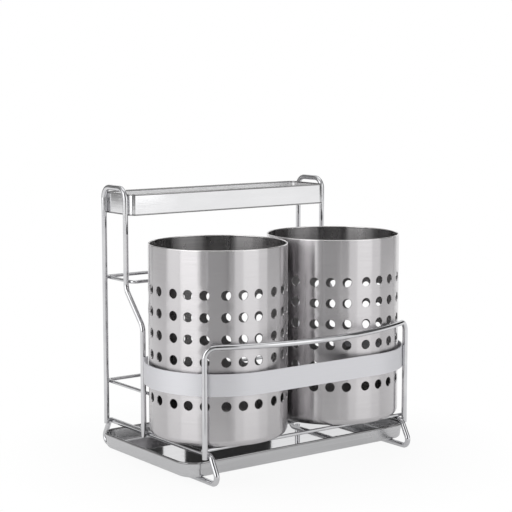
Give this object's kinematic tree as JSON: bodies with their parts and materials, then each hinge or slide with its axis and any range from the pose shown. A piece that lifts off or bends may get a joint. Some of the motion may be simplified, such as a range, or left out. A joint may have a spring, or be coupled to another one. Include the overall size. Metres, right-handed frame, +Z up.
{
  "type": "cutlery rack",
  "caption": "Countertop cutlery rack of bent wire with round lift-out cups in front, an open knife bay behind and a slide-out drip tray below.",
  "frame": {"origin": "on the table under the middle of the rack", "axes": "+X along the two cups to the right, -Y to the front, +Z up"},
  "size_m": [0.2132, 0.168, 0.2008],
  "materials": {
    "chrome_wire": "bright plated wire",
    "polished_strip": "polished strip",
    "satin_strip": "satin strip",
    "brushed_cup": "satin brushed sheet",
    "tray_sheet": "satin sheet, bright inside"
  },
  "bodies": {
    "rack": {"left_side_frame": "chrome_wire", "right_side_frame": "chrome_wire", "left_foot_loop": "chrome_wire", "right_foot_loop": "chrome_wire", "upper_guide_ring": "chrome_wire", "lower_guide_wire": "chrome_wire", "front_guard": "chrome_wire", "front_cross_wire": "chrome_wire", "rear_cross_wire": "chrome_wire", "knife_band": "polished_strip", "cup_strap": "satin_strip"},
    "left_cup": {"left_cup": "brushed_cup"},
    "right_cup": {"right_cup": "brushed_cup"},
    "tray": {"drip_tray": "tray_sheet"}
  },
  "joints": [
    {"name": "left_cup_lift", "type": "slide", "parent": "rack", "child": "left_cup", "axis": [0, 0, 1], "range_m": [0, 0.14]},
    {"name": "right_cup_lift", "type": "slide", "parent": "rack", "child": "right_cup", "axis": [0, 0, 1], "range_m": [0, 0.14]},
    {"name": "tray_slide", "type": "slide", "parent": "rack", "child": "tray", "axis": [1, 0, 0], "range_m": [-0.2, 0.2]}
  ]
}
